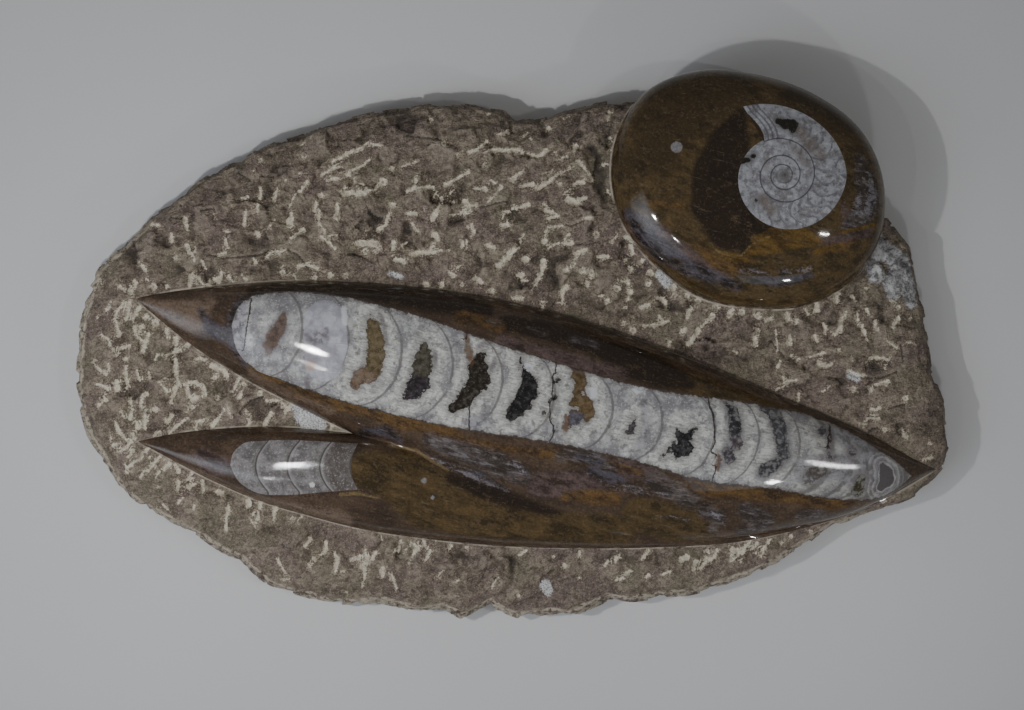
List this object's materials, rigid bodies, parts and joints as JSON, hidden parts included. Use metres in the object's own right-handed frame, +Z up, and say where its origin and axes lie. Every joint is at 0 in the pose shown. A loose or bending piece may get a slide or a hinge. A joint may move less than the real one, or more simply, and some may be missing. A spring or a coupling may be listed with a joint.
{
  "type": "orthoceras fossil",
  "caption": "Chiselled limestone slab with polished ridges and a polished button, in which straight chambered shells and a coiled shell lie flush; it rests on its sawn face.",
  "frame": {"origin": "middle of the plate's bounding box, on the sawn underside", "axes": "+X along the plate's length towards the pointed end of the large shell, +Y towards the button, +Z up out of the polished face"},
  "size_m": [0.3869, 0.2417, 0.047],
  "materials": {
    "limestone": "point-chiselled on the field and broken at the edge, polished on the ridges and the button",
    "large_shell_calcite": "polished white calcite with dark chamber fillings",
    "small_shell_calcite": "polished grey mottled calcite",
    "coiled_shell_calcite": "polished cream calcite with fine dark chamber walls"
  },
  "bodies": {
    "root": {"matrix": "limestone", "large_orthoceras": "large_shell_calcite", "small_orthoceras": "small_shell_calcite", "goniatite": "coiled_shell_calcite"}
  },
  "joints": []
}
